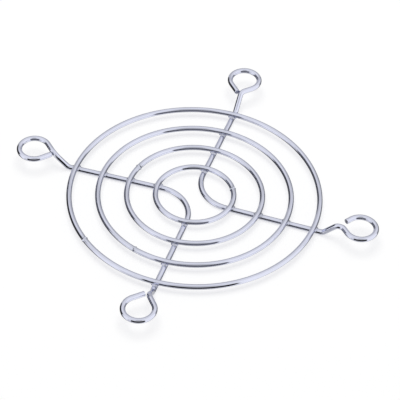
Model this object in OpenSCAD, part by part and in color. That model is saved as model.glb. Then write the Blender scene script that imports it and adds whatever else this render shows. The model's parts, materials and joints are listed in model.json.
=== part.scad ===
// Wire fan guard for a square axial fan: four concentric wire rings welded onto
// two bent support wires, whose cranked ends are curled into four screw eyes.
// Millimetres. The support wires lie on Z = 0, the rings lie on top of them and
// the eyes stand highest, so the fan goes on the +Z side. The origin is on the
// rings' axis. The sides of the square of screw eyes are along X and Y.

/* [Mounting] */
// distance between neighbouring screw eyes, centre to centre
eye_spacing = 71.5; // [69:0.5:80]
// radius of a screw eye at the middle of its wire
eye_r = 4.5; // [3.5:0.1:5]
// height of the eyes' wire above the arms' wire
crank_rise = 4.15; // [3:0.05:6]

/* [Wire] */
// diameter of the wire of the rings
ring_wire_d = 1.6; // [1.2:0.05:2]
// diameter of the wire of the two support wires
rib_wire_d = 1.6; // [1.2:0.05:2]
// how deep a ring is sunk into a support wire by the weld
weld_set = 0.2; // [0.1:0.05:0.4]

/* [Rings] */
// diameter of the innermost ring at the middle of its wire
inner_ring_d = 23.2; // [20:0.1:26]
// distance from one ring to the next, wire middle to wire middle
ring_pitch = 8.5; // [6.5:0.05:8.6]

/* [Support wires] */
// radius of the bend near the middle of each support wire
centre_bend_r = 10.8; // [8:0.1:13]
// how far the sharp corner of that bend would lie beyond the rings' axis
corner_past_axis = 1.35; // [0:0.05:3]
// distance from the outer ring to the foot of the crank
crank_start = 2.7; // [2.5:0.1:3.2]
// radius of the bends at the foot and the head of the crank
crank_bend_r = 1.9; // [1.5:0.1:2.2]
// level wire between the crank and the neck's bend on the +X -Y arm
level_right_front = 1.8; // [1.7:0.1:2]

/* [Screw eyes] */
// straight lead from the neck's bend to the start of the -X +Y eye
lead_left_back = 4.7; // [4:0.1:5]
// straight lead from the neck's bend to the start of the -X -Y eye
lead_left_front = 3.8; // [3.4:0.1:4.6]
// straight lead from the neck's bend to the start of the +X -Y eye
lead_right_front = 2.6; // [2:0.1:3.5]
// straight lead from the neck's bend to the start of the +X +Y eye
lead_right_back = 3.6; // [3:0.1:4.5]
// angle between that lead and the line from the fan's axis to the -X -Y eye
lead_angle_left_front = 40; // [38:0.5:46]
// the same angle at the other three eyes
lead_angle = 45; // [44:0.5:46]
// how far the neck of the -X -Y eye lies beside the line of its arm
neck_aside = 0.7; // [0:0.05:1]
// radius of the bend where an arm turns into a closed eye
closed_bend_r = 3.6; // [2:0.1:4]
// radius of the bend where an arm turns into one of the two open eyes
open_bend_r = 2; // [1.5:0.1:2]
// turn of the closed -X +Y eye, in degrees
closed_back_wrap = 272; // [262:1:275]
// turn of the closed -X -Y eye, in degrees
closed_front_wrap = 267; // [260:1:270]
// turn of the partly open +X -Y eye, in degrees
part_open_wrap = 280; // [270:1:285]
// turn of the open +X +Y eye, in degrees
open_wrap = 268; // [258:1:272]
// straight end of the closed -X +Y eye
closed_back_tail = 3.3; // [2:0.1:3.4]
// straight end of the closed -X -Y eye
closed_front_tail = 3.7; // [2:0.1:3.8]
// straight end of the partly open +X -Y eye
part_open_tail = 1.6; // [1:0.1:2.4]
// straight end of the open eye
open_tail = 4; // [3:0.1:4.4]
// depth of the flat that the forming mandrel leaves inside an eye
mandrel_flat = 0.05; // [0.03:0.01:0.08]

/* [Welds] */
// diameter of the metal squeezed out round a weld
flash_d = 2.5; // [2.2:0.05:2.8]
// thickness of that metal
flash_t = 0.9; // [0.6:0.05:1.1]
// how far the butt weld of a ring stands proud of its wire
butt_proud = 0.07; // [0.04:0.01:0.15]
// length of the butt weld along the ring
butt_length = 0.9; // [0.5:0.1:1.5]
// directions of the butt welds, from the innermost ring outwards, in degrees
butt_at = [-18, 118, 205, 183.5];

/* [Hidden] */
$fn = 96;
steel = [0.80, 0.80, 0.85];
ring_count = 4;
ring_r = [for (i = [0 : ring_count - 1]) inner_ring_d / 2 + i * ring_pitch];
rib_z = rib_wire_d / 2;
ring_z = rib_wire_d + ring_wire_d / 2 - weld_set;
eye_z = rib_z + crank_rise;
half = eye_spacing / 2;
// each straight reaches this far into the bends at its ends and is this much
// thicker than they are, so that they join without surfaces that only touch
lap = 0.03;
step = 0.004;
end_chamfer = 0.12;

function unit(v) = v / norm(v);
function flat(v, z) = [v[0], v[1], z];
function reverse(list) = [for (i = [len(list) - 1 : -1 : 0]) list[i]];
// where the arm from corner c along u is r away from the rings' axis
function on_arm(c, u, r) = c + u * (sqrt(r * r - c * c + (c * u) * (c * u)) - c * u);

// puts children at p with their axes along x, y and z
module place(p, x, y, z) {
    multmatrix([[x[0], y[0], z[0], p[0]], [x[1], y[1], z[1], p[1]], [x[2], y[2], z[2], p[2]]])
        children();
}

module straight(a, b, d) {
    z = unit(b - a);
    x = unit(cross(abs(z[2]) < 0.9 ? [0, 0, 1] : [1, 0, 0], z));
    place(a - z * lap, x, cross(z, x), z)
        cylinder(d = d + 2 * step, h = norm(b - a) + 2 * lap);
}

// bend that starts at a along u and turns towards v
module bend(a, u, v, r, turn, d) {
    place(a + r * v, -v, u, cross(-v, u))
        rotate_extrude(angle = turn) translate([r, 0]) circle(d = d);
}

// wire through the corners p, each bent to its radius in r
module bent_wire(p, r, d) {
    last = len(p) - 1;
    u = [for (i = [0 : last - 1]) unit(p[i + 1] - p[i])];
    turn = [for (i = [0 : last]) i == 0 || i == last ? 0 : acos(u[i - 1] * u[i])];
    cut = [for (i = [0 : last]) r[i] * tan(turn[i] / 2)];
    for (i = [0 : last - 1])
        straight(p[i] + u[i] * cut[i], p[i + 1] - u[i] * cut[i + 1], d);
    for (i = [1 : last - 1])
        bend(p[i] - u[i - 1] * cut[i], u[i - 1],
             unit(u[i] - (u[i] * u[i - 1]) * u[i - 1]), r[i], turn[i], d);
}

// An eye in its own frame: +X points away from the fan's axis, and the wire goes
// round counter-clockwise from start. With hand -1 it is mirrored.
function eye_frame(at, hand, v) =
    let (a = atan2(at[1], at[0]), y = v[1] * hand)
    at + [v[0] * cos(a) - y * sin(a), v[0] * sin(a) + y * cos(a)];
function eye_tangent(at, hand, start) =
    eye_frame(at, hand, eye_r * [cos(start), sin(start)]);
function neck_corner(at, hand, start, lead) =
    eye_frame(at, hand, eye_r * [cos(start), sin(start)] - lead * [-sin(start), cos(start)]);

module eye(at, hand, start, wrap, tail) {
    translate([at[0], at[1], eye_z]) rotate(atan2(at[1], at[0]))
        mirror([0, hand < 0 ? 1 : 0, 0]) {
            rotate(start) rotate_extrude(angle = wrap)
                translate([eye_r, 0]) circle(d = rib_wire_d);
            rotate(start + wrap) translate([eye_r, -lap, 0]) rotate([-90, 0, 0]) {
                cylinder(d = rib_wire_d + 2 * step, h = tail + lap - end_chamfer);
                translate([0, 0, tail + lap - end_chamfer])
                    cylinder(d1 = rib_wire_d + 2 * step,
                             d2 = rib_wire_d + 2 * step - 2 * end_chamfer, h = end_chamfer);
            }
        }
}

module weld_flash(at) {
    translate([at[0], at[1], (rib_wire_d + ring_z - ring_wire_d / 2) / 2])
        rotate_extrude() {
            translate([flash_d / 2 - flash_t / 2, 0]) circle(d = flash_t);
            translate([0, -flash_t / 2]) square([flash_d / 2 - flash_t / 2, flash_t]);
        }
}

module ring_body(i) {
    translate([0, 0, ring_z]) rotate_extrude()
        translate([ring_r[i], 0]) circle(d = ring_wire_d);
}

module ring(i) {
    color(steel) {
        ring_body(i);
        span = butt_length / ring_r[i] * 180 / PI;
        translate([0, 0, ring_z]) rotate(butt_at[i] - span / 2) rotate_extrude(angle = span)
            translate([ring_r[i], 0]) circle(d = ring_wire_d + 2 * butt_proud);
    }
}

// side: -1 for the wire on the -X side, 1 for the one on the +X side.
// The other lists give the +Y end first. leads, angles and asides place the necks.
// An arm with no level wire above its crank climbs straight to the neck's bend.
module support_wire(side, neck_bend_r, hands, leads, angles, asides, wraps, tails, levels) {
    corner = [-side * corner_past_axis, 0];
    at = [[side * half, half], [side * half, -half]];
    start = [for (e = [0, 1]) 270 - angles[e]];
    neck = [for (e = [0, 1]) neck_corner(at[e], hands[e], start[e], leads[e])];
    tangent = [for (e = [0, 1]) eye_tangent(at[e], hands[e], start[e])];
    arm = [for (e = [0, 1])
        unit(neck[e] - asides[e] * unit([-at[e][1], at[e][0]]) - corner)];
    foot = [for (e = [0, 1]) on_arm(corner, arm[e], ring_r[ring_count - 1] + crank_start)];
    // corners and bend radii from the crank's foot out to the eye
    climb = [for (e = [0, 1]) concat(
        [flat(foot[e], rib_z)],
        levels[e] > 0 ? [flat(neck[e] - arm[e] * levels[e], eye_z)] : [],
        [flat(neck[e], eye_z), flat(tangent[e], eye_z)])];
    climb_r = [for (e = [0, 1]) concat(
        [crank_bend_r], levels[e] > 0 ? [crank_bend_r] : [], [neck_bend_r, 0])];
    color(steel) difference() {
        union() {
            bent_wire(concat(reverse(climb[0]), [flat(corner, rib_z)], climb[1]),
                      concat(reverse(climb_r[0]), [centre_bend_r], climb_r[1]),
                      rib_wire_d);
            for (e = [0, 1]) {
                eye(at[e], hands[e], start[e], wraps[e], tails[e]);
                for (r = ring_r) weld_flash(on_arm(corner, arm[e], r));
            }
        }
        for (i = [0 : ring_count - 1]) ring_body(i);
        // the narrow flat that the forming mandrel leaves inside each eye
        for (p = at) translate([p[0], p[1], eye_z - rib_wire_d])
            cylinder(r = eye_r - rib_wire_d / 2 + mandrel_flat, h = 2 * rib_wire_d);
    }
}

module innermost_ring() { ring(0); }
module second_ring() { ring(1); }
module third_ring() { ring(2); }
module outer_ring() { ring(3); }

module left_support_wire() {
    support_wire(-1, closed_bend_r, hands = [1, -1],
                 leads = [lead_left_back, lead_left_front],
                 angles = [lead_angle, lead_angle_left_front], asides = [0, neck_aside],
                 wraps = [closed_back_wrap, closed_front_wrap],
                 tails = [closed_back_tail, closed_front_tail], levels = [0, 0]);
}

module right_support_wire() {
    support_wire(1, open_bend_r, hands = [1, 1],
                 leads = [lead_right_back, lead_right_front],
                 angles = [lead_angle, lead_angle], asides = [0, 0],
                 wraps = [open_wrap, part_open_wrap],
                 tails = [open_tail, part_open_tail], levels = [0, level_right_front]);
}

innermost_ring();
second_ring();
third_ring();
outer_ring();
left_support_wire();
right_support_wire();
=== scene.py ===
# Wire fan guard: chrome-plated rings and formed support wires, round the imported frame.
# Metres. MM turns a maker's millimetres into them.
import json
import math

import bpy
from mathutils import Matrix, Vector, kdtree


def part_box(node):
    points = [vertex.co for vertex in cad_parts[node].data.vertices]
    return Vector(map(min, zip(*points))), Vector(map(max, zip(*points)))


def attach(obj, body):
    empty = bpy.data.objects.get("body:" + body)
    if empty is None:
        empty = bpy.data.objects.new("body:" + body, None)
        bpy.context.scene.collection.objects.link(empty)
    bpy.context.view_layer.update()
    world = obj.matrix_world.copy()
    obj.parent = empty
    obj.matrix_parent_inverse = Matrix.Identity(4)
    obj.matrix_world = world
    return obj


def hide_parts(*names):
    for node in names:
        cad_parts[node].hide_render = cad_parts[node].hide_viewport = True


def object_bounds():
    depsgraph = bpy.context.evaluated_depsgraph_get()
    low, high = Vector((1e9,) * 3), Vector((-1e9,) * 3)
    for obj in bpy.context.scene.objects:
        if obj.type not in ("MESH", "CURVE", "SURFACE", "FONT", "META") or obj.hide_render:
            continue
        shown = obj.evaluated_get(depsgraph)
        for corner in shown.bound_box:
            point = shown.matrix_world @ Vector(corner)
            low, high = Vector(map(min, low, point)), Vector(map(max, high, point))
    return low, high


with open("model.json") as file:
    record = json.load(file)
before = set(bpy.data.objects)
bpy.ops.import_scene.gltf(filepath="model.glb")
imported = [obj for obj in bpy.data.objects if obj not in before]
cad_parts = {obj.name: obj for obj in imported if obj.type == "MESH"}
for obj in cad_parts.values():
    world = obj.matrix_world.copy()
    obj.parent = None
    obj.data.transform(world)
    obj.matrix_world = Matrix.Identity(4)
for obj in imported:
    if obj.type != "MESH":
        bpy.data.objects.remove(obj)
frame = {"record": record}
cad_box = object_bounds()

MM = 0.001

# --- sizes -----------------------------------------------------------------------

RING_NODES = ["innermost_ring", "second_ring", "third_ring", "outer_ring"]
BUTT_WELD_AT = [-18, 118, 205, 183.5]     # degrees round each ring, innermost first

eye_pattern = frame["record"]["mounts"][0]
EYE_SPACING = eye_pattern["dims"]["spacing_x_mm"] * MM
EYE_Z = eye_pattern["pos_m"][2]
WIRE_R = 0.8 * MM
EYE_R = 4.5 * MM                          # to the middle of the wire
RIB_Z = WIRE_R
RING_Z = sum(corner[2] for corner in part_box("outer_ring")) / 2
RING_R = [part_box(node)[1][1] - WIRE_R for node in RING_NODES]

CENTRE_BEND_R = 10.8 * MM
CORNER_PAST_AXIS = 1.35 * MM
CRANK_START = 2.7 * MM
CRANK_BEND_R = 1.9 * MM
CLOSED_BEND_R = 3.6 * MM
OPEN_BEND_R = 2.0 * MM

# One entry for each screw eye: the way it curls, the straight lead into it and that
# lead's angle, how far its neck lies beside the arm, how far the wire goes round, the
# straight end left over, and the level wire between crank and neck.
LEFT_EYES = [
    dict(hand=1, lead=4.7 * MM, angle=45, aside=0, wrap=272, tail=3.3 * MM, level=0),
    dict(hand=-1, lead=3.8 * MM, angle=40, aside=0.7 * MM, wrap=267, tail=3.7 * MM, level=0),
]
RIGHT_EYES = [
    dict(hand=1, lead=3.6 * MM, angle=45, aside=0, wrap=268, tail=4.0 * MM, level=0),
    dict(hand=1, lead=2.6 * MM, angle=45, aside=0, wrap=280, tail=1.6 * MM, level=1.8 * MM),
]

SIDES = 28                                # facets round a wire, shaded smooth
STRAIGHT_STEP = 0.5 * MM
BEND_STEP = 3.5                           # degrees
RING_STEP = 0.6 * MM
ON_SECTION = 0.01 * MM                    # points this near a plane lie in it
MERGE_WITHIN = 0.001 * MM
SMOOTH_BELOW = 40                         # degrees between faces
UP = Vector((0, 0, 1))

# The face of a sheared end, from its rim inwards: how far each step goes out, and how
# much smaller it is than the one before.
SHEARED_STEPS = [(0.05 * MM, 0.975), (0.04 * MM, 0.94), (0.02 * MM, 0.88),
                 (-0.015 * MM, 0.86), (-0.01 * MM, 0.4)]
SHEARED_FROM = 0.02 * MM                  # past here a face belongs to the sheared end

BUTT_LENGTH = 0.9 * MM
BUTT_STEPS = 12
BUTT_SWELL = 0.05 * MM
BUTT_FIN = 0.1 * MM
BUTT_FIN_HALF = 0.12 * MM
BUTT_STEP_OUT = 0.04 * MM

WELD_Z = 1.5 * MM                         # where a ring and a support wire meet
# radius and height of the weld bead's rings, from its underside to its top
WELD_PROFILE = [(r * MM, z * MM) for r, z in (
    (0.62, -0.5), (0.9, -0.36), (1.06, -0.22), (1.2, -0.11), (1.29, -0.04),
    (1.29, 0.04), (1.18, 0.12), (1.0, 0.24), (0.82, 0.38), (0.56, 0.5))]
BEAD_SIDES = 32
# how deep, how many times round and from where each ripple of the bead's edge starts
BEAD_RIPPLES = [(0.07, 2, 0.6), (0.05, 5, 1.9), (0.035, 9, 0.3)]
BEAD_WARP = 0.05 * MM
BEAD_LIP = 1.6                            # of the underside's radius, where the lip is full
BEAD_SIZE_SPREAD = 0.05
BEAD_NEXT_TURN = 2.399                    # radians from one bead to the next
HALO_R = 2.6 * MM
HALO_FADE = 1.5

# --- finishes and light ----------------------------------------------------------

PLATE_BRIGHT = (0.75, 0.77, 0.91, 1)
PLATE_DULL = (0.60, 0.62, 0.71, 1)
WELD_DULL = (0.42, 0.43, 0.49, 1)
SHEAR_DULL = (0.50, 0.51, 0.57, 1)
# lowest and highest roughness
WIRE_ROUGHNESS = (0.02, 0.11)
WELD_ROUGHNESS = (0.12, 0.4)
SHEAR_ROUGHNESS = (0.18, 0.42)
WELD_DULLING = 0.45
SHEAR_DULLING = 0.5

# how many times each pattern repeats in a metre, about
CLOUDS = 160
SPECKS = 2600
RIPPLES = 110
WELD_GRAIN = 4200
WELD_LUMPS = 1300
TEARS = 5200
DRAWING_LINES = 9                         # across the wire's radius
DRAWING_STRETCH = 0.05                    # along the wire

# distance and strength of each bump
WIRE_BUMP = (0.02 * MM, 0.2)
WELD_BUMP = (0.05 * MM, 0.8)
SHEAR_BUMP = (0.04 * MM, 0.9)

PAPER_COLOUR = (0.46, 0.46, 0.42, 1)
PAPER_OWN_WHITE = (0.67, 0.67, 0.70, 1)

CAMERA_TURN = 28.58                       # degrees from the camera's front to the guard's
CAMERA_HEIGHT = 45.008
CAMERA_ROLL = 2.010
CAMERA_AWAY = 588.5 * MM
CAMERA_ASIDE = 1.61 * MM
CAMERA_BELOW = -1.67 * MM
CAMERA_LENS = 179.07
CAMERA_SENSOR = 36
CAMERA_NEAR = 0.01

FLOOR_SIZE = 6
FLOOR_BELOW = 0.02 * MM

FILL_LEVEL = 0.5
LAMP_POWER = 6.0
LAMP_PLACE = (0.1, 0.25, 1.2)
LAMP_SIZE = 0.9
TENT_LEVEL = 1.1
TENT_SEAM = 225                           # where the count of degrees round the tent starts
# Each panel or gap: from and to, in degrees round from the camera's right hand and in
# degrees above the horizon, how soft its edges are both ways, and how bright it is.
TENT_PANELS = [
    (226, 584, -90, -6, 1, 6, 0.72),      # paper under the guard
    (58, 125, -90, 42, 8, 8, 0.68),       # far wall
    (12, 62, -90, 14, 4, 3, 0.3),         # gap beside the right panel
    (124, 176, -90, 30, 2, 4, 0.05),      # gap at the left
    (187, 213, -90, 60, 3, 8, 1.25),      # narrow left panel
    (308, 374, -90, 62, 4, 10, 1.3),      # large right panel
    (232, 306, -40, 28, 2, 4, 0.03),      # opening in front
    (252, 296, 28, 72, 6, 10, 0.7),      # upper part of the opening
]


# --- mesh tools ------------------------------------------------------------------

def deselect():
    bpy.ops.object.select_all(action="DESELECT")


def start_edit():
    bpy.ops.object.mode_set(mode="EDIT")
    bpy.ops.mesh.select_mode(type="VERT")


def end_edit():
    bpy.ops.object.mode_set(mode="OBJECT")


def settle(piece):
    """Puts the piece's place into its mesh, with its faces outwards."""
    deselect()
    piece.select_set(True)
    bpy.context.view_layer.objects.active = piece
    bpy.ops.object.transform_apply(location=True, rotation=True, scale=True)
    start_edit()
    bpy.ops.mesh.select_all(action="SELECT")
    bpy.ops.mesh.remove_doubles(threshold=MERGE_WITHIN)
    bpy.ops.mesh.normals_make_consistent(inside=False)
    end_edit()
    bpy.ops.object.shade_smooth_by_angle(angle=math.radians(SMOOTH_BELOW))


def selected_middle(piece):
    piece.update_from_editmode()
    picked = [piece.matrix_world @ v.co for v in piece.data.vertices if v.select]
    return sum(picked, Vector()) / len(picked)


def select_section(piece, middle, along, reach):
    """Selects only the points of the wire's section through middle, square to along."""
    for face in piece.data.polygons:
        face.select = False
    for v in piece.data.vertices:
        away = v.co - middle
        v.select = abs(away.dot(along)) < ON_SECTION and away.length < reach
    for e in piece.data.edges:
        e.select = all(piece.data.vertices[i].select for i in e.vertices)


# --- forming wire ----------------------------------------------------------------

class FormedWire:
    """A wire made as in a wire former: a round section is drawn out along runs and
    bends. stations keeps the middle, direction and length run at each step."""

    def __init__(self, name, start, direction):
        deselect()
        bpy.ops.mesh.primitive_circle_add(
            vertices=SIDES, radius=WIRE_R, location=start,
            rotation=direction.to_track_quat("Z", "Y").to_euler())
        self.piece = bpy.context.object
        self.piece.name = name
        bpy.ops.object.transform_apply(location=True, rotation=True, scale=True)
        self.at, self.way, self.run_length = start.copy(), direction.normalized(), 0.0
        self.stations = []
        self.note()
        start_edit()
        bpy.ops.mesh.select_all(action="SELECT")

    def note(self):
        self.stations.append((self.at.copy(), self.way.copy(), self.run_length))

    def run(self, length, step=STRAIGHT_STEP):
        count = max(1, round(length / step))
        for _ in range(count):
            move = self.way * (length / count)
            bpy.ops.mesh.extrude_region_move(TRANSFORM_OT_translate={"value": move})
            self.at += move
            self.run_length += length / count
            self.note()

    def bend(self, radius, degrees, axis, step=BEND_STEP):
        """Turns the wire by degrees round axis, counter-clockwise seen from its tip."""
        axis = axis.normalized()
        centre = self.at + axis.cross(self.way) * radius
        count = max(1, round(degrees / step))
        # with no window, spin turns clockwise
        bpy.ops.mesh.spin(steps=count, angle=-math.radians(degrees), center=centre, axis=axis)
        for _ in range(count):
            turn = Matrix.Rotation(math.radians(degrees / count), 3, axis)
            self.at = centre + turn @ (self.at - centre)
            self.way = turn @ self.way
            self.run_length += radius * math.radians(degrees / count)
            self.note()

    def run_to(self, point):
        self.run((point - self.at).length)

    def finish(self):
        end_edit()
        return self.piece


def close_sheared_end(piece, at, way):
    """Fills the open end at 'at' as a sheared face: a rounded edge on the side that the
    blade rolled over, and a slightly raised burr ring round a flat middle."""
    deselect()
    piece.select_set(True)
    bpy.context.view_layer.objects.active = piece
    select_section(piece, at, way, 1.1 * WIRE_R)
    start_edit()
    for out, size in SHEARED_STEPS:
        bpy.ops.mesh.extrude_region_move(TRANSFORM_OT_translate={"value": way * out})
        bpy.ops.transform.resize(value=[size] * 3, center_override=selected_middle(piece))
    bpy.ops.mesh.edge_face_add()
    end_edit()


def unit(x, y):
    return Vector((x, y, 0)).normalized()


def eye_point(at, hand, x, y):
    """A point of an eye's own frame, whose X points away from the fan's axis."""
    out = unit(at.x, at.y)
    side = UP.cross(out) * hand
    return Vector((at.x, at.y, EYE_Z)) + out * x + side * y


def eye_layout(side, end, eye):
    at = Vector((side * EYE_SPACING / 2, end * EYE_SPACING / 2, 0))
    hand = eye["hand"]
    start = math.radians(270 - eye["angle"])
    stop = start + math.radians(eye["wrap"])
    middle = eye_point(at, hand, 0, 0)
    tangent = eye_point(at, hand, EYE_R * math.cos(start), EYE_R * math.sin(start))
    inward = eye_point(at, hand, -math.sin(start), math.cos(start)) - middle
    neck = tangent - inward * eye["lead"]
    finish = eye_point(at, hand, EYE_R * math.cos(stop), EYE_R * math.sin(stop))
    finish_way = eye_point(at, hand, -math.sin(stop), math.cos(stop)) - middle
    corner = Vector((-side * CORNER_PAST_AXIS, 0, 0))
    beside = unit(-at.y, at.x)
    flat_neck = Vector((neck.x, neck.y, 0))
    arm = (flat_neck - beside * eye["aside"] - corner).normalized()
    return dict(eye, at=at, tangent=tangent, neck=neck, finish=finish,
                finish_way=finish_way, arm=arm, corner=corner)


def on_arm(layout, radius):
    """Where the arm crosses a circle of that radius round the fan's axis."""
    c, u = layout["corner"], layout["arm"]
    along = -c.dot(u) + math.sqrt(radius ** 2 - c.dot(c) + c.dot(u) ** 2)
    return c + u * along


def form_support_wire(name, side, neck_bend_r, eyes):
    ends = [eye_layout(side, end, eye) for end, eye in zip((1, -1), eyes)]
    level = Vector((0, 0, RIB_Z))

    def climb(e):
        foot = on_arm(e, RING_R[-1] + CRANK_START) + level
        points = [(foot, CRANK_BEND_R)]
        if e["level"] > 0:
            points.append((e["neck"] - e["arm"] * e["level"], CRANK_BEND_R))
        return points + [(e["neck"], neck_bend_r), (e["tangent"], 0)]

    first, last = ends
    corners = climb(first)[::-1] + [(first["corner"] + level, CENTRE_BEND_R)] + climb(last)
    tail_end = first["finish"] + first["finish_way"] * first["tail"]
    wire = FormedWire(name, tail_end, -first["finish_way"])
    start = wire.at.copy(), wire.way.copy()
    wire.run_to(first["finish"])
    wire.bend(EYE_R, first["wrap"], UP * -first["hand"])
    for (point, radius), (following, _) in zip(corners[1:], corners[2:]):
        next_way = (following - point).normalized()
        turn = wire.way.angle(next_way)
        cut = radius * math.tan(turn / 2)
        wire.run_to(point - wire.way * cut)
        wire.bend(radius, math.degrees(turn), wire.way.cross(next_way))
    wire.run_to(last["tangent"])
    wire.bend(EYE_R, last["wrap"], UP * last["hand"])
    wire.run(last["tail"])
    piece = wire.finish()
    close_sheared_end(piece, start[0], -start[1])
    close_sheared_end(piece, wire.at, wire.way)
    return piece, wire.stations, ends


def form_ring(name, radius, weld_at):
    """A ring rolled from wire. Its butt weld is a low swelling with a thin fin of
    squeezed-out metal in the middle, and the two ends meet slightly out of line."""
    a = math.radians(weld_at)
    out, way = Vector((math.cos(a), math.sin(a), 0)), Vector((-math.sin(a), math.cos(a), 0))
    wire = FormedWire(name, out * radius + UP * RING_Z, way)
    bead = math.degrees(BUTT_LENGTH / radius)
    wire.bend(radius, bead, UP, step=bead / BUTT_STEPS)
    bead_stations = list(wire.stations)
    wire.bend(radius, 360 - bead, UP, step=math.degrees(RING_STEP / radius))
    piece = wire.finish()
    for k, (middle, along, _) in enumerate(bead_stations):
        t = k / BUTT_STEPS
        fin = max(0.0, 1 - abs(t - 0.5) * BUTT_LENGTH / BUTT_FIN_HALF)
        swell = BUTT_SWELL * math.sin(math.pi * t) ** 2 + BUTT_FIN * fin
        shift = BUTT_STEP_OUT * math.sin(math.pi * t) * (1 if t > 0.5 else -1)
        outwards = Vector((middle.x, middle.y, 0)).normalized()
        select_section(piece, middle, along, 2 * WIRE_R)
        start_edit()
        bpy.ops.transform.resize(value=[1 + swell / WIRE_R] * 3, center_override=middle)
        bpy.ops.transform.translate(value=outwards * shift)
        bpy.ops.mesh.select_all(action="DESELECT")
        end_edit()
    return piece, wire.stations


def model_weld_bead():
    """The metal squeezed out round one crossing: a thin ragged lip at the joint, drawn
    in above and below where it runs into the two wires."""
    deselect()
    radius, height = WELD_PROFILE[0]
    bpy.ops.mesh.primitive_circle_add(
        vertices=BEAD_SIDES, radius=radius, fill_type="NGON", location=UP * height)
    bead = bpy.context.object
    bead.name = "weld_bead"
    bpy.ops.object.transform_apply(location=True, rotation=True, scale=True)
    start_edit()
    bpy.ops.mesh.select_all(action="SELECT")
    for next_radius, next_height in WELD_PROFILE[1:]:
        bpy.ops.mesh.extrude_region_move(
            TRANSFORM_OT_translate={"value": UP * (next_height - height)})
        size = next_radius / radius
        bpy.ops.transform.resize(value=(size, size, 1), center_override=UP * next_height)
        radius, height = next_radius, next_height
    end_edit()
    settle(bead)
    for v in bead.data.vertices:
        turn = math.atan2(v.co.y, v.co.x)
        lip = min(1.0, math.hypot(v.co.x, v.co.y) / WELD_PROFILE[0][0] / BEAD_LIP)
        ragged = sum(deep * math.sin(times * turn + start) for deep, times, start in BEAD_RIPPLES)
        v.co.xy *= 1 + ragged * lip
        v.co.z += BEAD_WARP * math.sin(3 * turn + 0.8) * lip
    smooth = bead.modifiers.new("rounding", "SUBSURF")
    smooth.levels = smooth.render_levels = 1
    bpy.context.view_layer.objects.active = bead
    bpy.ops.object.modifier_apply(modifier=smooth.name)
    return bead


def lay_welds(name, bead, places):
    """One bead at each place, joined into one piece."""
    copies = []
    for k, (place, arm) in enumerate(places):
        copy = bead.copy()
        copy.data = bead.data.copy()
        bpy.context.collection.objects.link(copy)
        size = 1 + BEAD_SIZE_SPREAD * math.sin(2.4 * k + 1.1)
        spin = Matrix.Rotation(math.atan2(arm.y, arm.x) + BEAD_NEXT_TURN * k, 4, "Z")
        copy.data.transform(Matrix.Translation(place) @ spin @ Matrix.Scale(size, 4))
        copies.append(copy)
    deselect()
    for copy in copies:
        copy.select_set(True)
    bpy.context.view_layer.objects.active = copies[0]
    bpy.ops.object.join()
    piece = bpy.context.object
    piece.name = piece.data.name = name
    bpy.ops.object.shade_smooth()
    return piece


def mark_wire(piece, stations, weld_places):
    """Stores on each point where it lies round and along its wire, for the drawing
    lines, and how near it is to a weld, for the dull halo that plating leaves there."""
    tree = kdtree.KDTree(len(stations))
    for i, (middle, _, _) in enumerate(stations):
        tree.insert(middle, i)
    tree.balance()
    piece.data.attributes.new("drawn", "FLOAT_VECTOR", "POINT")
    piece.data.attributes.new("weld_halo", "FLOAT", "POINT")
    # looked up only now, because adding one moves the others
    drawn, halo = piece.data.attributes["drawn"], piece.data.attributes["weld_halo"]
    for v in piece.data.vertices:
        middle, way, length = stations[tree.find(v.co)[1]]
        side = way.cross(UP)
        side = side.normalized() if side.length > 0.01 else Vector((1, 0, 0))
        away = v.co - middle
        across, above = away.dot(side), away.dot(side.cross(way))
        drawn.data[v.index].vector = (across / WIRE_R, above / WIRE_R, length / MM)
        near = min(((v.co - place).length for place in weld_places), default=1)
        halo.data[v.index].value = max(0.0, 1 - near / HALO_R) ** HALO_FADE


def finish_sheared_ends(piece, stations):
    """Gives the faces past each end of the wire the piece's second material."""
    for station, sign in ((stations[0], -1), (stations[-1], 1)):
        at, way = station[0], station[1] * sign
        for face in piece.data.polygons:
            away = face.center - at
            if away.dot(way) > SHEARED_FROM and away.length < 1.2 * WIRE_R:
                face.material_index = 1


# --- finishes --------------------------------------------------------------------

def new_node(tree, kind, **settings):
    made = tree.nodes.new(kind)
    for key, value in settings.items():
        setattr(made, key, value)
    return made


def math_node(tree, operation, a, b=None):
    made = new_node(tree, "ShaderNodeMath", operation=operation)
    for socket, value in zip(made.inputs, (a, b)):
        if isinstance(value, (int, float)):
            socket.default_value = value
        elif value is not None:
            tree.links.new(value, socket)
    return made.outputs[0]


def map_node(tree, value, low, high, to_low, to_high, curve="LINEAR"):
    made = new_node(tree, "ShaderNodeMapRange", interpolation_type=curve)
    tree.links.new(value, made.inputs["Value"])
    for name, number in (("From Min", low), ("From Max", high),
                         ("To Min", to_low), ("To Max", to_high)):
        made.inputs[name].default_value = number
    return made.outputs["Result"]


def noise_node(tree, vector, scale, detail=2.0, roughness=0.5):
    made = new_node(tree, "ShaderNodeTexNoise", noise_dimensions="3D")
    tree.links.new(vector, made.inputs["Vector"])
    made.inputs["Scale"].default_value = scale
    made.inputs["Detail"].default_value = detail
    made.inputs["Roughness"].default_value = roughness
    return made.outputs["Fac"]


def mix_colour(tree, factor, a, b):
    made = new_node(tree, "ShaderNodeMix", data_type="RGBA")
    sockets = {s.identifier: s for s in made.inputs}
    for key, value in (("Factor_Float", factor), ("A_Color", a), ("B_Color", b)):
        if isinstance(value, (tuple, float, int)):
            sockets[key].default_value = value
        else:
            tree.links.new(value, sockets[key])
    return {s.identifier: s for s in made.outputs}["Result_Color"]


def group_sockets(group, inputs, outputs):
    for name, kind in inputs:
        group.interface.new_socket(name=name, in_out="INPUT", socket_type="NodeSocket" + kind)
    for name, kind in outputs:
        group.interface.new_socket(name=name, in_out="OUTPUT", socket_type="NodeSocket" + kind)
    return group.nodes.new("NodeGroupInput"), group.nodes.new("NodeGroupOutput")


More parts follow.
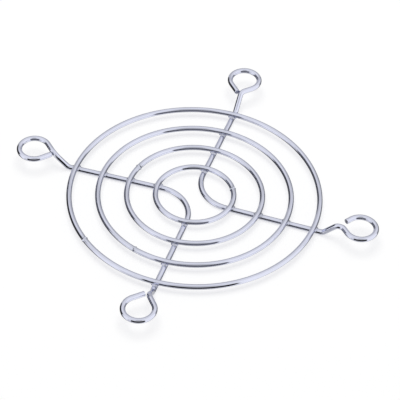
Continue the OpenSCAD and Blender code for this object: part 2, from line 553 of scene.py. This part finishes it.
def make_plating_group():
    """Bright plating over steel: slow clouding of its colour, fine dull specks and the
    dull grey halo round welds. Object coordinates are in metres."""
    group = bpy.data.node_groups.new("Plating", "ShaderNodeTree")
    given, result = group_sockets(
        group,
        [("Position", "Vector"), ("Dulling", "Float"), ("Bright Colour", "Color"),
         ("Dull Colour", "Color"), ("Lowest Roughness", "Float"), ("Highest Roughness", "Float")],
        [("Colour", "Color"), ("Roughness", "Float"), ("Height", "Float")])
    clouds = noise_node(group, given.outputs["Position"], CLOUDS, 3, 0.55)
    specks = noise_node(group, given.outputs["Position"], SPECKS, 2, 0.6)
    cloudy = map_node(group, clouds, 0.35, 0.7, 0.0, 0.3, "SMOOTHSTEP")
    speckled = map_node(group, specks, 0.6, 0.75, 0.0, 0.35, "SMOOTHSTEP")
    uneven = map_node(group, specks, 0.3, 0.7, 0.55, 1.2)
    halo = math_node(group, "MULTIPLY", given.outputs["Dulling"], uneven)
    worn = math_node(group, "ADD", math_node(group, "ADD", cloudy, speckled), halo)
    dull = math_node(group, "MINIMUM", worn, 1.0)
    colour = mix_colour(group, dull, given.outputs["Bright Colour"], given.outputs["Dull Colour"])
    lowest, highest = given.outputs["Lowest Roughness"], given.outputs["Highest Roughness"]
    spread = math_node(group, "SUBTRACT", highest, lowest)
    rough = math_node(group, "ADD", lowest, math_node(group, "MULTIPLY", spread, dull))
    group.links.new(colour, result.inputs["Colour"])
    group.links.new(rough, result.inputs["Roughness"])
    group.links.new(specks, result.inputs["Height"])
    return group


def start_finish(name):
    finish = bpy.data.materials.new(name)
    finish.use_nodes = True
    tree = finish.node_tree
    tree.nodes.clear()
    surface = tree.nodes.new("ShaderNodeBsdfPrincipled")
    surface.inputs["Metallic"].default_value = 1.0
    output = tree.nodes.new("ShaderNodeOutputMaterial")
    tree.links.new(surface.outputs["BSDF"], output.inputs["Surface"])
    position = new_node(tree, "ShaderNodeTexCoord").outputs["Object"]
    return finish, tree, surface, position


def use_plating(tree, surface, position, dulling, dull, roughness):
    """Feeds the surface from the plating group and returns the specks as a height."""
    plating = new_node(tree, "ShaderNodeGroup", node_tree=PLATING)
    tree.links.new(position, plating.inputs["Position"])
    if isinstance(dulling, float):
        plating.inputs["Dulling"].default_value = dulling
    else:
        tree.links.new(dulling, plating.inputs["Dulling"])
    plating.inputs["Bright Colour"].default_value = PLATE_BRIGHT
    plating.inputs["Dull Colour"].default_value = dull
    plating.inputs["Lowest Roughness"].default_value = roughness[0]
    plating.inputs["Highest Roughness"].default_value = roughness[1]
    tree.links.new(plating.outputs["Colour"], surface.inputs["Base Color"])
    tree.links.new(plating.outputs["Roughness"], surface.inputs["Roughness"])
    return plating.outputs["Height"]


def add_bump(tree, surface, height, bump_size):
    distance, strength = bump_size
    bump = new_node(tree, "ShaderNodeBump")
    bump.inputs["Distance"].default_value = distance
    bump.inputs["Strength"].default_value = strength
    tree.links.new(height, bump.inputs["Height"])
    tree.links.new(bump.outputs["Normal"], surface.inputs["Normal"])


def make_wire_finish():
    """Drawn wire, plated bright: drawing lines along the wire and a slow ripple from
    the rolls, under the plating."""
    finish, tree, surface, position = start_finish("bright_plated_wire")
    drawn = new_node(tree, "ShaderNodeAttribute", attribute_name="drawn").outputs["Vector"]
    halo = new_node(tree, "ShaderNodeAttribute", attribute_name="weld_halo").outputs["Fac"]
    stretch = new_node(tree, "ShaderNodeMapping")
    stretch.inputs["Scale"].default_value = (1.0, 1.0, DRAWING_STRETCH)
    tree.links.new(drawn, stretch.inputs["Vector"])
    lines = noise_node(tree, stretch.outputs["Vector"], DRAWING_LINES, 3, 0.6)
    ripple = noise_node(tree, position, RIPPLES, 1, 0.4)
    specks = use_plating(tree, surface, position, halo, PLATE_DULL, WIRE_ROUGHNESS)
    height = math_node(tree, "ADD", math_node(tree, "MULTIPLY", lines, 0.35),
                       math_node(tree, "MULTIPLY", ripple, 3.0))
    height = math_node(tree, "ADD", height, math_node(tree, "MULTIPLY", specks, 0.05))
    add_bump(tree, surface, height, WIRE_BUMP)
    return finish


def make_weld_finish():
    """Squeezed-out weld metal: plated as the wire is, but rough underneath."""
    finish, tree, surface, position = start_finish("plated_weld")
    use_plating(tree, surface, position, WELD_DULLING, WELD_DULL, WELD_ROUGHNESS)
    grain = noise_node(tree, position, WELD_GRAIN, 4, 0.65)
    lumps = noise_node(tree, position, WELD_LUMPS, 2, 0.5)
    height = math_node(tree, "ADD", math_node(tree, "MULTIPLY", grain, 0.5),
                       math_node(tree, "MULTIPLY", lumps, 1.5))
    add_bump(tree, surface, height, WELD_BUMP)
    return finish


def make_sheared_finish():
    """A sheared wire end: torn steel under a thin plate, greyer and rougher."""
    finish, tree, surface, position = start_finish("sheared_end")
    use_plating(tree, surface, position, SHEAR_DULLING, SHEAR_DULL, SHEAR_ROUGHNESS)
    torn = noise_node(tree, position, TEARS, 4, 0.7)
    add_bump(tree, surface, torn, SHEAR_BUMP)
    return finish


# --- studio ----------------------------------------------------------------------

def band(tree, value, low, high, soft):
    """1 between low and high, falling to 0 over soft outside them."""
    rise = map_node(tree, value, low - soft, low + soft, 0.0, 1.0, "SMOOTHSTEP")
    fall = map_node(tree, value, high - soft, high + soft, 1.0, 0.0, "SMOOTHSTEP")
    return math_node(tree, "MULTIPLY", rise, fall)


def make_studio_world():
    """A white tent. Rays that light the scene and look past it see plain white, and
    bright metal sees the tent's panels and the gaps between them, which below the
    horizon stand in for the paper."""
    world = bpy.data.worlds.new("studio_tent")
    bpy.context.scene.world = world
    world.use_nodes = True
    tree = world.node_tree
    tree.nodes.clear()
    looking = new_node(tree, "ShaderNodeTexCoord").outputs["Generated"]
    turned = new_node(tree, "ShaderNodeVectorRotate", rotation_type="Z_AXIS")
    turned.inputs["Angle"].default_value = math.radians(CAMERA_TURN)
    tree.links.new(looking, turned.inputs["Vector"])
    split = new_node(tree, "ShaderNodeSeparateXYZ")
    tree.links.new(turned.outputs["Vector"], split.inputs["Vector"])
    turned_by = math_node(tree, "ARCTAN2", split.outputs["Y"], split.outputs["X"])
    from_seam = math_node(
        tree, "SUBTRACT", math_node(tree, "MULTIPLY", turned_by, 180 / math.pi), TENT_SEAM)
    round_deg = math_node(tree, "FLOORED_MODULO", from_seam, 360.0)
    high = math_node(tree, "ARCSINE", split.outputs["Z"])
    high_deg = math_node(tree, "MULTIPLY", high, 180 / math.pi)
    tent = TENT_LEVEL
    for left, right, bottom, top, soft_round, soft_high, level in TENT_PANELS:
        start, stop = (left - TENT_SEAM) % 360, (right - TENT_SEAM) % 360
        mask = math_node(tree, "MULTIPLY", band(tree, round_deg, start, stop, soft_round),
                         band(tree, high_deg, bottom, top, soft_high))
        step = math_node(tree, "MULTIPLY", math_node(tree, "SUBTRACT", level, tent), mask)
        tent = math_node(tree, "ADD", tent, step)
    light_path = new_node(tree, "ShaderNodeLightPath")
    gloss = new_node(tree, "ShaderNodeBackground")
    tree.links.new(tent, gloss.inputs["Strength"])
    plain = new_node(tree, "ShaderNodeBackground")
    tree.links.new(map_node(tree, light_path.outputs["Is Camera Ray"], 0, 1, FILL_LEVEL, 1.0),
                   plain.inputs["Strength"])
    both = new_node(tree, "ShaderNodeMixShader")
    tree.links.new(light_path.outputs["Is Glossy Ray"], both.inputs["Fac"])
    tree.links.new(plain.outputs["Background"], both.inputs[1])
    tree.links.new(gloss.outputs["Background"], both.inputs[2])
    output = new_node(tree, "ShaderNodeOutputWorld")
    tree.links.new(both.outputs["Shader"], output.inputs["Surface"])


def lay_floor():
    """White paper. Most of its white is its own, so the guard's shadow on it stays as
    faint as on brightly lit paper. Bright metal sees the tent in its place."""
    deselect()
    bpy.ops.mesh.primitive_plane_add(
        size=FLOOR_SIZE, location=(0, 0, cad_box[0][2] - FLOOR_BELOW))
    floor = bpy.context.object
    floor.name = "paper_floor"
    bpy.ops.object.transform_apply(location=True, rotation=True, scale=True)
    finish = bpy.data.materials.new("white_paper")
    finish.use_nodes = True
    tree = finish.node_tree
    paper = tree.nodes["Principled BSDF"]
    paper.inputs["Base Color"].default_value = PAPER_COLOUR
    paper.inputs["Roughness"].default_value = 1.0
    paper.inputs["Specular IOR Level"].default_value = 0.0
    paper.inputs["Emission Color"].default_value = PAPER_OWN_WHITE
    rays = new_node(tree, "ShaderNodeLightPath")
    seen = math_node(tree, "MAXIMUM", rays.outputs["Is Camera Ray"], math_node(
        tree, "MAXIMUM", rays.outputs["Is Glossy Ray"], rays.outputs["Is Transmission Ray"]))
    tree.links.new(seen, paper.inputs["Emission Strength"])
    floor.data.materials.append(finish)
    floor.visible_glossy = False


def hang_lamp(name, place, size, power):
    bpy.ops.object.light_add(type="AREA", location=place)
    lamp = bpy.context.object
    lamp.name = name
    lamp.data.shape = "SQUARE"
    lamp.data.size = size
    lamp.data.energy = power
    lamp.rotation_euler = (-Vector(place)).to_track_quat("-Z", "Y").to_euler()
    lamp.visible_glossy = False
    lamp.visible_camera = False


def set_camera():
    """Looks down at CAMERA_HEIGHT degrees. The axes are the camera's own, first as seen
    from the front of the turned scene and then turned back into the guard's frame."""
    e, roll = math.radians(CAMERA_HEIGHT), math.radians(CAMERA_ROLL)
    right, up = Vector((1, 0, 0)), Vector((0, math.sin(e), math.cos(e)))
    back = Vector((0, -math.cos(e), math.sin(e)))
    r = right * math.cos(roll) + up * math.sin(roll)
    u = up * math.cos(roll) - right * math.sin(roll)
    turn = Matrix.Rotation(math.radians(-CAMERA_TURN), 3, "Z")
    place = turn @ (r * CAMERA_ASIDE + u * CAMERA_BELOW + back * CAMERA_AWAY) + UP * RING_Z
    axes = Matrix([turn @ r, turn @ u, turn @ back]).transposed()
    bpy.ops.object.camera_add(location=place, rotation=axes.to_euler())
    camera = bpy.context.object
    camera.name = "camera"
    camera.data.lens = CAMERA_LENS
    camera.data.sensor_width = CAMERA_SENSOR
    camera.data.clip_start = CAMERA_NEAR
    bpy.context.scene.camera = camera


# --- build -----------------------------------------------------------------------

PLATING = make_plating_group()
wire_finish = make_wire_finish()
weld_finish = make_weld_finish()
sheared_finish = make_sheared_finish()

pieces = []
supports = []
for name, side, bend_r, eyes in (("left_support_wire", -1, CLOSED_BEND_R, LEFT_EYES),
                                 ("right_support_wire", 1, OPEN_BEND_R, RIGHT_EYES)):
    piece, stations, ends = form_support_wire(name + "_formed", side, bend_r, eyes)
    settle(piece)
    crossings = [(on_arm(e, radius) + UP * WELD_Z, e["arm"]) for e in ends for radius in RING_R]
    supports.append((piece, name, stations, crossings))

all_welds = [place for support in supports for place, _ in support[3]]
for node, radius, weld_at in zip(RING_NODES, RING_R, BUTT_WELD_AT):
    piece, stations = form_ring(node + "_wire", radius, weld_at)
    settle(piece)
    at = math.radians(weld_at) + BUTT_LENGTH / 2 / radius
    butt = Vector((radius * math.cos(at), radius * math.sin(at), RING_Z))
    mark_wire(piece, stations, all_welds + [butt])
    piece.data.materials.append(wire_finish)
    pieces.append((piece, node))

bead = model_weld_bead()
for piece, name, stations, crossings in supports:
    mark_wire(piece, stations, all_welds)
    piece.data.materials.append(wire_finish)
    piece.data.materials.append(sheared_finish)
    finish_sheared_ends(piece, stations)
    pieces.append((piece, name))
    welds = lay_welds(name.replace("_wire", "_welds"), bead, crossings)
    welds.data.materials.clear()
    welds.data.materials.append(weld_finish)
    pieces.append((welds, name))
bpy.data.objects.remove(bead)

for piece, node in pieces:
    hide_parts(node)
    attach(piece, "root")

make_studio_world()
lay_floor()
hang_lamp("overhead_softbox", LAMP_PLACE, LAMP_SIZE, LAMP_POWER)
set_camera()

scene = bpy.context.scene
scene.view_settings.view_transform = "Standard"
